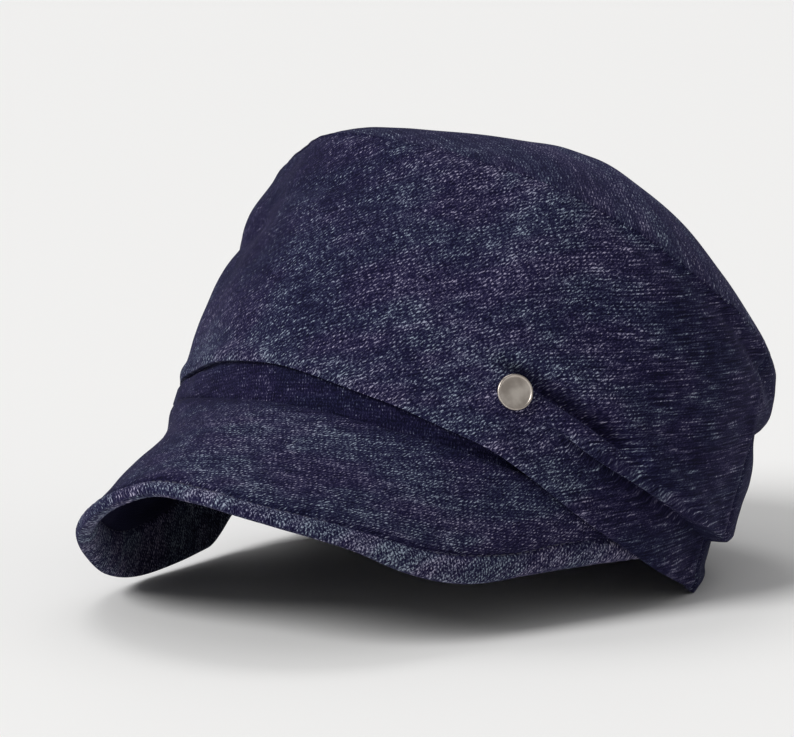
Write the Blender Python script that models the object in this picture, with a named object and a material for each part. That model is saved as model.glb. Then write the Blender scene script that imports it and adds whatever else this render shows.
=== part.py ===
"""A slouched cloth cap with a folded crown, an arched peak and a small metal disc.

Every piece is first worked out as worn: the band level, the front towards -Y, the
wearer's left towards +X and level 0 at the line where the peak is sewn to the band.
The whole cap then leans back onto the floor, and the cloth below that would sink
into the floor settles onto it.
"""

import math
from collections import namedtuple

import bmesh
import bpy
from mathutils import Vector

MM = 0.001

# Head opening and inner band
OPENING_WIDTH = 176.0 * MM
OPENING_LENGTH = 197.0 * MM
BAND_CLOTH = 2.0 * MM
BAND_DROP = 0.8 * MM
BAND_OVERLAP = 4.0 * MM
BAND_SIDE_RISE = 3.0 * MM

# Crown wall
CROWN_CLOTH = 1.8 * MM
CROWN_DEPTH = 104.0 * MM
HEM_RISE = 15.0 * MM
HEM_STAND_OFF = 1.0 * MM
STAND_OFF_START = 30.0
STAND_OFF_SPAN = 18.0
SIDE_PUFF = 5.0 * MM
FRONT_SLOPE = 12.6 * MM
BACK_PUFF = 7.0 * MM
PLEAT_DEPTH = 7.0 * MM
PLEAT_SOFTNESS = 6.0 * MM
FOLD_DEPTH = 6.0 * MM
FOLD_WIDTH = 5.0 * MM
SIDE_SEAM_TURN = 112.5

# Tip panel
TIP_RISE = 25.0 * MM
TIP_ROUNDNESS = 2.6
TIP_DENT = 3.0 * MM
TIP_DENT_TURN = 40.0

# Peak
PEAK_CLOTH = 2.8 * MM
PEAK_REACH = 40.0 * MM
PEAK_TUCK = 10.0 * MM
PEAK_DROP = 60.0 * MM
PEAK_BULGE = 22.0 * MM
PEAK_CREST_SHARE = 0.3
PEAK_LEFT_LIFT = 17.0 * MM
PEAK_LIFT_START_TURN = -12.0
PEAK_LIFT_FINISH_TURN = 52.0
PEAK_END_TURN = 92.0

# Metal disc and its post
DISC_WIDTH = 12.2 * MM
DISC_THICKNESS = 1.2 * MM
DISC_BEVEL = 0.35 * MM
DISC_TURN = 47.3
DISC_LEVEL = 24.7 * MM
DISC_RIM = 0.7 * MM
DISC_DISH = 0.15 * MM
POST_WIDTH = 1.6 * MM
POST_HEAD_WIDTH = 6.0 * MM
POST_HEAD_THICKNESS = 0.8 * MM

# Fits
CLEARANCE = 0.3 * MM
POST_HOLE_CLEARANCE = 0.35 * MM

# How the cap lies
LEAN = math.radians(26.0)
ROOT_HEIGHT = 27.0 * MM
SETTLE_HEIGHT = 70.0 * MM

UPRIGHT = Vector((0.0, -math.sin(LEAN), math.cos(LEAN)))

# Mesh densities
COLUMNS = 64
TIP_RINGS = 8
TIP_RING_SPACING = 0.9
PEAK_COLUMNS = 40
PEAK_ROWS = 8
BAND_ROWS = 3
DISC_SIDES = 32
POST_SIDES = 16
HALVINGS = 40
WELD = 0.001 * MM

# Steps, as shares of a surface, over which its outward direction is measured, and the
# turn in degrees to each side
FINE_STEP = 0.01
BROAD_STEP = 0.02
DISC_STEP = 0.05
TURN_STEP = 1.0

# Heights of the wall's rows, as shares of the way from the hem to the tip seam, the
# pleat lying at PLEAT_SHARE
PLEAT_SHARE = 0.24
WALL_ROWS = (
    0.0, 0.06, 0.12, 0.17, 0.205, 0.24, 0.265, 0.29, 0.315, 0.345, 0.38, 0.42,
    0.47, 0.52, 0.56, 0.60, 0.64, 0.69, 0.75, 0.81, 0.87, 0.93, 1.0,
)

# How far the wall stands out at each level: the level as a share of CROWN_DEPTH,
# then shares of SIDE_PUFF, FRONT_SLOPE and BACK_PUFF.
Section = namedtuple("Section", "level side front back")
SECTIONS = (
    Section(level=-0.15, side=0.00, front=0.00, back=0.00),
    Section(level=0.14, side=0.00, front=0.00, back=0.00),
    Section(level=0.34, side=0.15, front=-0.06, back=-0.15),
    Section(level=0.58, side=0.10, front=-0.34, back=-0.40),
    Section(level=0.77, side=-0.60, front=-0.62, back=-1.20),
    Section(level=0.90, side=-1.60, front=-0.85, back=-2.00),
    Section(level=1.00, side=-2.60, front=-1.08, back=-3.10),
)

# The hem round the head: the turn in degrees from the front towards the wearer's
# left, and its level as a share of HEM_RISE.
Hem = namedtuple("Hem", "turn rise")
HEM = (
    Hem(turn=-180, rise=-0.60),
    Hem(turn=-122, rise=-0.60),
    Hem(turn=-100, rise=-0.40),
    Hem(turn=-80, rise=0.20),
    Hem(turn=-60, rise=0.66),
    Hem(turn=-40, rise=0.93),
    Hem(turn=-20, rise=1.04),
    Hem(turn=-7, rise=1.04),
    Hem(turn=2, rise=1.00),
    Hem(turn=17, rise=0.73),
    Hem(turn=27, rise=0.53),
    Hem(turn=36, rise=0.27),
    Hem(turn=47, rise=0.00),
    Hem(turn=56, rise=-0.23),
    Hem(turn=68, rise=-0.49),
    Hem(turn=80, rise=-0.64),
    Hem(turn=95, rise=-0.75),
    Hem(turn=111, rise=-0.66),
    Hem(turn=180, rise=-0.60),
)

# The tip seam: its level as a share of CROWN_DEPTH, by turn.
Seam = namedtuple("Seam", "turn level")
SEAM = (
    Seam(turn=-180, level=0.82),
    Seam(turn=-117, level=0.82),
    Seam(turn=-90, level=0.86),
    Seam(turn=-60, level=0.96),
    Seam(turn=-30, level=1.02),
    Seam(turn=-10, level=1.02),
    Seam(turn=8, level=0.995),
    Seam(turn=30, level=0.98),
    Seam(turn=50, level=0.95),
    Seam(turn=68, level=0.905),
    Seam(turn=87, level=0.84),
    Seam(turn=117, level=0.80),
    Seam(turn=180, level=0.82),
)

# The pleat that runs from the disc round the back: its level as a share of
# CROWN_DEPTH and how far the cloth above it overhangs, as a share of PLEAT_DEPTH.
Pleat = namedtuple("Pleat", "turn level overhang")
PLEAT = (
    Pleat(turn=0, level=0.24, overhang=0.00),
    Pleat(turn=50, level=0.19, overhang=0.00),
    Pleat(turn=58, level=0.165, overhang=0.16),
    Pleat(turn=65, level=0.135, overhang=0.40),
    Pleat(turn=75, level=0.112, overhang=0.60),
    Pleat(turn=86, level=0.094, overhang=0.74),
    Pleat(turn=96, level=0.088, overhang=0.86),
    Pleat(turn=114, level=0.094, overhang=0.95),
    Pleat(turn=130, level=0.12, overhang=1.00),
    Pleat(turn=180, level=0.13, overhang=0.80),
)

# The other folds: their turns, levels as shares of CROWN_DEPTH at both ends, width
# as a share of FOLD_WIDTH and depth as a share of FOLD_DEPTH (negative inwards).
Fold = namedtuple("Fold", "start finish fade low high width depth")
FOLDS = (
    Fold(start=50, finish=76, fade=10, low=0.283, high=0.195, width=0.70, depth=-0.45),
    Fold(start=52, finish=106, fade=12, low=0.225, high=0.128, width=0.80, depth=0.30),
    Fold(start=112, finish=160, fade=18, low=0.50, high=0.51, width=1.10, depth=-1.60),
    Fold(start=105, finish=165, fade=20, low=0.70, high=0.70, width=2.20, depth=0.50),
    Fold(start=-90, finish=-12, fade=30, low=0.54, high=0.54, width=4.00, depth=-0.25),
    Fold(start=-70, finish=-18, fade=18, low=0.57, high=0.72, width=1.30, depth=-0.42),
    Fold(start=-150, finish=-100, fade=20, low=0.45, high=0.62, width=1.30, depth=-0.80),
)

# The peak's outer edge, each side: the turn of its root, then how far the edge lies
# inwards, forwards and down from that root, as shares of PEAK_TUCK, PEAK_REACH and
# PEAK_DROP, and how far the section bulges there, as a share of PEAK_BULGE.
Edge = namedtuple("Edge", "turn tuck forward drop bulge")
EDGE = (
    Edge(turn=-10, tuck=0.04, forward=0.96, drop=0.81, bulge=0.14),
    Edge(turn=0, tuck=0.00, forward=0.99, drop=0.765, bulge=0.16),
    Edge(turn=10, tuck=0.04, forward=0.96, drop=0.81, bulge=0.14),
    Edge(turn=20, tuck=0.08, forward=0.90, drop=0.885, bulge=0.10),
    Edge(turn=30, tuck=0.17, forward=0.81, drop=0.94, bulge=0.08),
    Edge(turn=40, tuck=0.35, forward=0.67, drop=0.975, bulge=0.10),
    Edge(turn=50, tuck=0.61, forward=0.51, drop=1.00, bulge=0.18),
    Edge(turn=60, tuck=0.82, forward=0.36, drop=0.93, bulge=0.30),
    Edge(turn=70, tuck=0.93, forward=0.18, drop=0.75, bulge=0.30),
    Edge(turn=80, tuck=0.70, forward=0.00, drop=0.53, bulge=0.20),
    Edge(turn=90, tuck=0.20, forward=-0.17, drop=0.31, bulge=0.08),
    Edge(turn=100, tuck=0.00, forward=-0.25, drop=0.15, bulge=0.00),
)

# Colour, roughness and metallic of each material
CLOTH_LOOK = ((0.035, 0.035, 0.075, 1.0), 0.92, 0.0)
METAL_LOOK = ((0.62, 0.58, 0.54, 1.0), 0.32, 1.0)


def eased(share):
    """A share held between 0 and 1, with a soft start and end."""
    share = min(max(share, 0.0), 1.0)
    return share * share * (3.0 - 2.0 * share)


def along(rows, key, column, where):
    """The value of one column of a table, smoothly between its rows."""
    spots = [getattr(row, key) for row in rows]
    values = [getattr(row, column) for row in rows]
    last = len(rows) - 1
    where = min(max(where, spots[0]), spots[last])
    k = max(i for i in range(last) if spots[i] <= where)

    def slope(i):
        before = max(i - 1, 0)
        after = min(i + 1, last)
        return (values[after] - values[before]) / (spots[after] - spots[before])

    step = spots[k + 1] - spots[k]
    t = (where - spots[k]) / step
    start = (1.0 + 2.0 * t) * (1.0 - t) ** 2 * values[k] + t * (1.0 - t) ** 2 * step * slope(k)
    finish = t * t * (3.0 - 2.0 * t) * values[k + 1] - t * t * (1.0 - t) * step * slope(k + 1)
    return start + finish


def oval(turn, side, front, back):
    """Distance from the middle to an oval with these half widths, at a turn from the front."""
    sine = math.sin(math.radians(turn))
    cosine = math.cos(math.radians(turn))
    reach = front if cosine > 0.0 else back
    return 1.0 / math.hypot(sine / side, cosine / reach)


def placed(turn, radius, level):
    """A point as worn, from its turn, its distance from the middle and its level."""
    angle = math.radians(turn)
    return Vector((radius * math.sin(angle), -radius * math.cos(angle), level))


def band_inside(turn):
    return oval(turn, OPENING_WIDTH / 2, OPENING_LENGTH / 2, OPENING_LENGTH / 2)


def band_outside(turn):
    half_length = OPENING_LENGTH / 2 + BAND_CLOTH
    return oval(turn, OPENING_WIDTH / 2 + BAND_CLOTH, half_length, half_length)


def hem_level(turn):
    return HEM_RISE * along(HEM, "turn", "rise", turn)


def seam_level(turn):
    return CROWN_DEPTH * along(SEAM, "turn", "level", turn)


def hem_radius(turn):
    """Where the hem runs: on the band at the front, and outside the peak's root beside it."""
    beside = eased((abs(turn) - STAND_OFF_START) / STAND_OFF_SPAN)
    peak_room = (PEAK_CLOTH + CLEARANCE + HEM_STAND_OFF) * beside
    return band_outside(turn) + CLEARANCE + CROWN_CLOTH + peak_room


def fold_push(turn, level):
    """How far the folds push the wall out at one place."""
    overhang = along(PLEAT, "turn", "overhang", abs(turn))
    push = PLEAT_DEPTH * overhang * eased((level - pleat_level(turn)) / PLEAT_SOFTNESS)
    for fold in FOLDS:
        into = min(turn - fold.start, fold.finish - turn) / fold.fade
        share = (turn - fold.start) / (fold.finish - fold.start)
        middle = CROWN_DEPTH * (fold.low + (fold.high - fold.low) * share)
        away = (level - middle) / (FOLD_WIDTH * fold.width)
        push += FOLD_DEPTH * fold.depth * eased(into) * math.exp(-away * away)
    return push


def wall_radius(turn, level):
    share = level / CROWN_DEPTH
    middle = hem_radius(turn)
    side = SIDE_PUFF * along(SECTIONS, "level", "side", share)
    front = FRONT_SLOPE * along(SECTIONS, "level", "front", share)
    back = BACK_PUFF * along(SECTIONS, "level", "back", share)
    sine = math.sin(math.radians(turn)) ** 2
    cosine = math.cos(math.radians(turn))
    ends = front if cosine > 0.0 else back
    return middle + side * sine + ends * (1.0 - sine) + fold_push(turn, level)


def leaned(point):
    """A point as worn, moved to where it is when the cap leans back."""
    y = point.y * math.cos(LEAN) + point.z * math.sin(LEAN)
    z = -point.y * math.sin(LEAN) + point.z * math.cos(LEAN) + ROOT_HEIGHT
    return Vector((point.x, y, z))


def stood(point):
    """A point as worn, moved to where it lies in the resting cap, never under the floor."""
    turn = math.degrees(math.atan2(point.x, -point.y))
    hem = placed(turn, hem_radius(turn), hem_level(turn))
    sunk = max(0.0, -leaned(hem).z)
    risen = eased((point.z - hem.z) / SETTLE_HEIGHT)
    place = leaned(point)
    place.z = max(0.0, place.z + sunk * (1.0 - risen))
    return place


def pleat_level(turn):
    return CROWN_DEPTH * along(PLEAT, "turn", "level", abs(turn))


def wall_level(turn, share):
    """The level of a place on the wall, from the hem at share 0 to the tip seam at share 1."""
    pleat = max(pleat_level(turn), hem_level(turn) + PLEAT_SOFTNESS)
    if share < PLEAT_SHARE:
        low, high, part = hem_level(turn), pleat, share / PLEAT_SHARE
    else:
        low, high, part = pleat, seam_level(turn), (share - PLEAT_SHARE) / (1.0 - PLEAT_SHARE)
    return low + (high - low) * part


def wall_point(turn, share):
    level = wall_level(turn, share)
    return stood(placed(turn, wall_radius(turn, level), level))


def tip_point(turn, share):
    """A point of the tip panel, from the seam at share 0 to its middle at share 1."""
    level = seam_level(turn)
    out = 1.0 - share
    rise = (CROWN_DEPTH + TIP_RISE - level) * (1.0 - out**TIP_ROUNDNESS)
    round_about = math.sin(math.radians(2.0 * turn - TIP_DENT_TURN))
    dent = TIP_DENT * round_about * math.sin(math.pi * out)
    return stood(placed(turn, wall_radius(turn, level) * out, level + rise + dent))


def facing(surface, turn, share, back_step, ahead_step):
    """The outward direction of a surface at one place."""
    across = surface(turn + TURN_STEP, share) - surface(turn - TURN_STEP, share)
    up = surface(turn, share + ahead_step) - surface(turn, share - back_step)
    return across.cross(up).normalized()


def finished(name, points, faces, look):
    """An object with this mesh, in the cap's collection, with its own material."""
    mesh = bpy.data.meshes.new(name)
    mesh.from_pydata([tuple(point) for point in points], [], faces)
    mesh.update()
    thing = bpy.data.objects.new(name, mesh)
    cap.objects.link(thing)
    dressed(thing, look)
    return thing


def dressed(thing, look):
    """Gives an object its own material."""
    colour, roughness, metallic = look
    material = bpy.data.materials.new(thing.name)
    material.use_nodes = True
    shader = material.node_tree.nodes["Principled BSDF"]
    shader.inputs["Base Color"].default_value = colour
    shader.inputs["Roughness"].default_value = roughness
    shader.inputs["Metallic"].default_value = metallic
    thing.data.materials.clear()
    thing.data.materials.append(material)


def ring_of_loops(columns, closed):
    """Points and faces of a closed body whose sections are loops of equal length.

    Each section runs round the body's skin once. Closed bodies join the last section
    to the first one; open ones are capped at both ends.
    """
    size = len(columns[0])
    points = [point for column in columns for point in column]
    faces = []
    count = len(columns)
    for i in range(count if closed else count - 1):
        here = i * size
        there = (i + 1) % count * size
        for j in range(size):
            k = (j + 1) % size
            faces.append((here + j, there + j, there + k, here + k))
    if not closed:
        half = size // 2
        for start, order in ((0, 1), ((count - 1) * size, -1)):
            for j in range(half - 1):
                loop = (start + j, start + j + 1, start + size - 2 - j, start + size - 1 - j)
                faces.append(loop[::order])
    return points, faces


def column_turns():
    return [360.0 * i / COLUMNS - 180.0 for i in range(COLUMNS)]


def panel_turns(first, last):
    """Turns across a wall panel, which stops a clearance short of each side seam."""
    short = math.degrees(CLEARANCE / hem_radius(SIDE_SEAM_TURN))
    count = max(2, round(COLUMNS * (last - first) / 360.0))
    spread = [first + short + (last - first - 2.0 * short) * i / count for i in range(count + 1)]
    return [(turn + 180.0) % 360.0 - 180.0 for turn in spread]


def flat_inward(turn):
    """The level direction from the wall towards the middle of the cap."""
    return Vector((-math.sin(math.radians(turn)), math.cos(math.radians(turn)), 0.0))


def seam_facing(turn):
    """The outward direction halfway between the wall's and the tip panel's at the seam."""
    wall = facing(wall_point, turn, 1.0, BROAD_STEP, 0.0)
    tip = facing(tip_point, turn, 0.0, 0.0, BROAD_STEP)
    return (wall + tip).normalized()


def crown_panel(name, first, last):
    """One panel of the crown's wall, between two side seams."""
    columns = []
    for turn in panel_turns(first, last):
        height = seam_level(turn) - hem_level(turn)
        rows = [row * (1.0 - CLEARANCE / height) for row in WALL_ROWS]
        outside = [wall_point(turn, row) for row in rows]
        inside = [outside[0] + CROWN_CLOTH * flat_inward(turn)]
        for row, point in list(zip(rows, outside))[1:-1]:
            out = facing(wall_point, turn, row, FINE_STEP, FINE_STEP)
            inside.append(point - CROWN_CLOTH * out)
        inside.append(outside[-1] - CROWN_CLOTH * seam_facing(turn))
        columns.append(outside + inside[::-1])
    return finished(name, *ring_of_loops(columns, False), CLOTH_LOOK)


def crown_top():
    turns = column_turns()
    outside = []
    inside = []
    for ring in range(TIP_RINGS):
        share = (ring / TIP_RINGS) ** TIP_RING_SPACING
        for turn in turns:
            point = tip_point(turn, share)
            if ring == 0:
                direction = seam_facing(turn)
            else:
                direction = facing(tip_point, turn, share, FINE_STEP, FINE_STEP)
            outside.append(point)
            inside.append(point - CROWN_CLOTH * direction)
    middle = tip_point(0.0, 1.0)
    outside.append(middle)
    inside.append(middle - CROWN_CLOTH * facing(tip_point, 0.0, 1.0 - FINE_STEP, FINE_STEP, FINE_STEP))
    offset = len(outside)
    pole = offset - 1
    faces = []
    for i in range(COLUMNS):
        k = (i + 1) % COLUMNS
        for ring in range(TIP_RINGS - 1):
            low = ring * COLUMNS
            high = low + COLUMNS
            faces.append((low + i, low + k, high + k, high + i))
            faces.append(tuple(offset + f for f in (high + i, high + k, low + k, low + i)))
        last = (TIP_RINGS - 1) * COLUMNS
        faces.append((last + i, last + k, pole))
        faces.append((offset + pole, offset + last + k, offset + last + i))
        faces.append((i, offset + i, offset + k, k))
    return finished("crown_top", outside + inside, faces, CLOTH_LOOK)


def band():
    columns = []
    for turn in column_turns():
        top = max(BAND_SIDE_RISE, hem_level(turn) + BAND_OVERLAP)
        levels = [-BAND_DROP + (top + BAND_DROP) * i / BAND_ROWS for i in range(BAND_ROWS + 1)]
        outside = [stood(placed(turn, band_outside(turn), level)) for level in levels]
        inside = [stood(placed(turn, band_inside(turn), level)) for level in levels]
        columns.append(outside + inside[::-1])
    return finished("band", *ring_of_loops(columns, True), CLOTH_LOOK)


def peak_under(turn, share):
    """The peak's under-surface as worn, from its root at share 0 to its edge at share 1."""
    near = abs(turn)
    side = 1.0 if turn >= 0.0 else -1.0
    root = placed(turn, band_outside(turn) + CLEARANCE, 0.0)
    edge = root.copy()
    edge.x -= side * PEAK_TUCK * along(EDGE, "turn", "tuck", near)
    edge.y -= PEAK_REACH * along(EDGE, "turn", "forward", near)
    edge.z -= PEAK_DROP * along(EDGE, "turn", "drop", near)
    out = placed(turn, 1.0, 0.0)
    bulge = PEAK_BULGE * along(EDGE, "turn", "bulge", near)
    bend = (root + edge) / 2 + out * bulge
    bend.z += PEAK_CREST_SHARE * bulge
    inward = (root - bend).dot(out)
    bend += out * max(0.0, inward)
    lifted = (turn - PEAK_LIFT_START_TURN) / (PEAK_LIFT_FINISH_TURN - PEAK_LIFT_START_TURN)
    edge += PEAK_LEFT_LIFT * eased(lifted) * UPRIGHT
    left = 1.0 - share
    return root * left * left + bend * 2.0 * left * share + edge * share * share


def peak():
    columns = []
    for i in range(PEAK_COLUMNS + 1):
        turn = PEAK_END_TURN * (2.0 * i / PEAK_COLUMNS - 1.0)
        under = []
        upper = []
        for j in range(PEAK_ROWS + 1):
            share = j / PEAK_ROWS
            point = peak_under(turn, share)
            out = -facing(peak_under, turn, share, BROAD_STEP, BROAD_STEP)
            under.append(stood(point))
            upper.append(stood(point + PEAK_CLOTH * out))
        columns.append(upper[::-1] + under)
    return finished("peak", *ring_of_loops(columns, False), CLOTH_LOOK)


def turned(name, profile, sides, look):
    """A solid of revolution about Z, from (radius, height) corners between two points on the axis."""
    shape = bmesh.new()
    corners = [shape.verts.new((radius, 0.0, height)) for radius, height in profile]
    edges = [shape.edges.new(pair) for pair in zip(corners, corners[1:])]
    bmesh.ops.spin(
        shape,
        geom=corners + edges,
        cent=(0.0, 0.0, 0.0),
        axis=(0.0, 0.0, 1.0),
        angle=math.tau,
        steps=sides,
        use_merge=True,
        use_duplicate=False,
    )
    bmesh.ops.remove_doubles(shape, verts=shape.verts, dist=WELD)
    bmesh.ops.recalc_face_normals(shape, faces=shape.faces)
    mesh = bpy.data.meshes.new(name)
    shape.to_mesh(mesh)
    shape.free()
    thing = bpy.data.objects.new(name, mesh)
    dressed(thing, look)
    return thing


def disc_place():
    """Where the disc's axis passes the wall, and the outward direction there."""
    low = PLEAT_SHARE
    high = 1.0
    for _ in range(HALVINGS):
        middle = (low + high) / 2
        if wall_level(DISC_TURN, middle) < DISC_LEVEL:
            low = middle
        else:
            high = middle
    point = wall_point(DISC_TURN, low)
    return point, facing(wall_point, DISC_TURN, low, DISC_STEP, DISC_STEP)


def fastened(thing, point, out):
    """Stands a turned solid on the wall, its own Z along the outward direction."""
    thing.location = point
    thing.rotation_mode = "QUATERNION"
    thing.rotation_quaternion = out.to_track_quat("Z", "Y")
    return thing


def disc_and_post(wall):
    point, out = disc_place()
    radius = DISC_WIDTH / 2
    rest = radius**2 / (OPENING_WIDTH / 2) / 2 + CLEARANCE
    top = rest + DISC_THICKNESS
    disc = (
        (0.0, rest),
        (radius - DISC_BEVEL, rest),
        (radius, rest + DISC_BEVEL),
        (radius, top - DISC_BEVEL),
        (radius - DISC_BEVEL, top),
        (radius - DISC_RIM, top),
        (radius - DISC_RIM - DISC_BEVEL, top - DISC_DISH),
        (0.0, top - DISC_DISH),
    )
    cap.objects.link(fastened(turned("emblem", disc, DISC_SIDES, METAL_LOOK), point, out))
    inside = -CROWN_CLOTH - CLEARANCE - radius**2 / (OPENING_WIDTH / 2) / 2
    post = (
        (0.0, inside - POST_HEAD_THICKNESS),
        (POST_HEAD_WIDTH / 2, inside - POST_HEAD_THICKNESS),
        (POST_HEAD_WIDTH / 2, inside),
        (POST_WIDTH / 2, inside),
        (POST_WIDTH / 2, rest - CLEARANCE),
        (0.0, rest - CLEARANCE),
    )
    cap.objects.link(fastened(turned("emblem_post", post, POST_SIDES, METAL_LOOK), point, out))
    hole_radius = POST_WIDTH / 2 + POST_HOLE_CLEARANCE
    hole = (
        (0.0, 2.0 * inside),
        (hole_radius, 2.0 * inside),
        (hole_radius, 2.0 * top),
        (0.0, 2.0 * top),
    )
    cutter = fastened(turned("post_hole", hole, POST_SIDES, METAL_LOOK), point, out)
    cutters.objects.link(cutter)
    cutter.hide_render = True
    cutter.display_type = "WIRE"
    cut = wall.modifiers.new("post_hole", "BOOLEAN")
    cut.operation = "DIFFERENCE"
    cut.solver = "EXACT"
    cut.object = cutter


def centred():
    """Moves the cap so that the middle of its footprint's box is the origin."""
    bpy.context.view_layer.update()
    low = [math.inf, math.inf, math.inf]
    high = [-math.inf, -math.inf, -math.inf]
    for thing in cap.objects:
        for corner in thing.bound_box:
            place = thing.matrix_world @ Vector(corner)
            low = [min(pair) for pair in zip(low, place)]
            high = [max(pair) for pair in zip(high, place)]
    middle = Vector(((low[0] + high[0]) / 2, (low[1] + high[1]) / 2, low[2]))
    for thing in [*cap.objects, *cutters.objects]:
        thing.location -= middle


for thing in list(bpy.data.objects):
    bpy.data.objects.remove(thing, do_unlink=True)
cap = bpy.data.collections.new("denim_cap")
cutters = bpy.data.collections.new("cutters")
bpy.context.scene.collection.children.link(cap)
bpy.context.scene.collection.children.link(cutters)

front = crown_panel("crown_front", -SIDE_SEAM_TURN, SIDE_SEAM_TURN)
crown_panel("crown_back", SIDE_SEAM_TURN, 360.0 - SIDE_SEAM_TURN)
crown_top()
band()
peak()
disc_and_post(front)
centred()
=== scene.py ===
# %% [markdown]
# # A slouched denim cap
#
# The cap comes as plain solids that already have the right size and place. This
# lesson dresses them: each cloth solid is replaced by a finely folded sheet of cloth,
# the disc gets a satin face, and everything is put on a pale floor in soft light.
# Lengths are in metres, +Z is up, and the front of the cap looks along -Y.

import math

import bmesh
import bpy
import numpy as np
from mathutils import Matrix, Vector, noise


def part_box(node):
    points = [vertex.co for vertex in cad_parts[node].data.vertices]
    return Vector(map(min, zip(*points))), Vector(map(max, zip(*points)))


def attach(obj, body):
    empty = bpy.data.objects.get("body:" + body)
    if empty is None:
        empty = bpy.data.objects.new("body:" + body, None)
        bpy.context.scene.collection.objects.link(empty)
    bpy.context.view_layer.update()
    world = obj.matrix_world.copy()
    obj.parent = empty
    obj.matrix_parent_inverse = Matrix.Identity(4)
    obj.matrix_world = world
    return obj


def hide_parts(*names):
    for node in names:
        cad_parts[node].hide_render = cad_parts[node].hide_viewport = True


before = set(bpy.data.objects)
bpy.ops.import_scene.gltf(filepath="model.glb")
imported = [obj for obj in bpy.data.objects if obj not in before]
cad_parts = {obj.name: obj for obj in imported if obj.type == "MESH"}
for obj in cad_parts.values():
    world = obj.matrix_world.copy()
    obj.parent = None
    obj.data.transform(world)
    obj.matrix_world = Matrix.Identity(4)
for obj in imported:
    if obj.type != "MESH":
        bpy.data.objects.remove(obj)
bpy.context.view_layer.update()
MM = 0.001

# %% [markdown]
# ## The measures of the cap
#
# The cloth has to lie exactly where the solids lie, so it is worked out from the same
# named sizes and the same short tables: how far the wall stands out at each level, where
# the hem and the tip seam run, and how the peak's edge drops away from its root. A turn
# is an angle in degrees from the front towards the wearer's left.

# %% Sizes and tables
OPENING_WIDTH = 176.0 * MM
OPENING_LENGTH = 197.0 * MM
BAND_CLOTH = 2.0 * MM
CROWN_CLOTH = 1.8 * MM
CROWN_DEPTH = 104.0 * MM
HEM_RISE = 15.0 * MM
HEM_STAND_OFF = 1.0 * MM
SIDE_PUFF = 5.0 * MM
FRONT_SLOPE = 12.6 * MM
BACK_PUFF = 7.0 * MM
PLEAT_DEPTH = 7.0 * MM
PLEAT_SOFTNESS = 6.0 * MM
PLEAT_STEP = 2.2 * MM
PLEAT_HOOK = 2.2 * MM
HEM_LIFT = 3.4 * MM
HEM_LIFT_TURN = 46.0
HEM_LIFT_WIDTH = 19.0
PLEAT_HOOK_SHARE = 0.030
PLEAT_SHARE = 0.24
FOLD_DEPTH = 6.0 * MM
FOLD_WIDTH = 5.0 * MM
TIP_RISE = 25.0 * MM
TIP_ROUNDNESS = 2.6
TIP_DENT = 3.0 * MM
TIP_DENT_TURN = 40.0
PEAK_CLOTH = 2.8 * MM
PEAK_REACH = 40.0 * MM
PEAK_TUCK = 10.0 * MM
PEAK_DROP = 60.0 * MM
PEAK_BULGE = 22.0 * MM
PEAK_CREST_SHARE = 0.3
PEAK_LEFT_LIFT = 17.0 * MM
PEAK_LIFT_TURNS = (-12.0, 52.0)
PEAK_END_TURN = 92.0
CLEARANCE = 0.3 * MM
LEAN = math.radians(26.0)
ROOT_HEIGHT = 27.0 * MM
SETTLE_HEIGHT = 70.0 * MM
REST_SHIFT = (-0.2206 * MM, 9.2251 * MM, 0.0)

# level, then how far the side, the front and the back stand out
SECTIONS = (
    (-0.15, 0.00, 0.00, 0.00),
    (0.14, 0.00, 0.00, 0.00),
    (0.34, 0.15, -0.06, -0.15),
    (0.58, 0.10, -0.34, -0.40),
    (0.77, -0.60, -0.62, -1.20),
    (0.90, -1.60, -0.85, -2.00),
    (1.00, -2.60, -1.08, -3.10),
)
# turn, level of the hem
HEM = (
    (-180, -0.60), (-122, -0.60), (-100, -0.40), (-80, 0.20), (-60, 0.66), (-40, 0.93),
    (-20, 1.04), (-7, 1.04), (2, 1.00), (17, 0.73), (27, 0.53), (36, 0.27), (47, 0.00),
    (56, -0.23), (68, -0.49), (80, -0.64), (95, -0.75), (111, -0.66), (180, -0.60),
)
# turn, level of the tip seam
SEAM = (
    (-180, 0.82), (-117, 0.82), (-90, 0.86), (-60, 0.96), (-30, 1.02), (-10, 1.02),
    (8, 0.995), (30, 0.98), (50, 0.95), (68, 0.905), (87, 0.84), (117, 0.80), (180, 0.82),
)
# turn, level of the pleat, how far the cloth above it overhangs
PLEAT = (
    (0, 0.24, 0.00), (50, 0.19, 0.00), (58, 0.165, 0.16), (65, 0.135, 0.40), (75, 0.112, 0.60),
    (86, 0.094, 0.74), (96, 0.088, 0.86), (114, 0.094, 0.95), (130, 0.12, 1.00), (180, 0.13, 0.80),
)
# first turn, last turn, fade, first level, last level, width, depth
FOLDS = (
    (39, 80, 12, 0.343, 0.165, 0.46, -1.30),
    (44, 84, 14, 0.395, 0.220, 0.90, 0.38),
    (52, 106, 12, 0.225, 0.128, 0.70, 0.34),
    (-46, 10, 14, 0.765, 0.825, 0.70, -0.20),
    (-10, 60, 22, 0.900, 0.780, 1.00, -0.12),
    (48, 128, 14, 0.946, 0.630, 0.80, -0.45),
    (112, 160, 18, 0.50, 0.51, 1.10, -1.60),
    (105, 165, 20, 0.70, 0.70, 2.20, 0.50),
    (-90, -12, 30, 0.54, 0.54, 4.00, -0.25),
    (-70, -18, 18, 0.57, 0.72, 1.30, -0.42),
    (-150, -100, 20, 0.45, 0.62, 1.30, -0.80),
)
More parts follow.
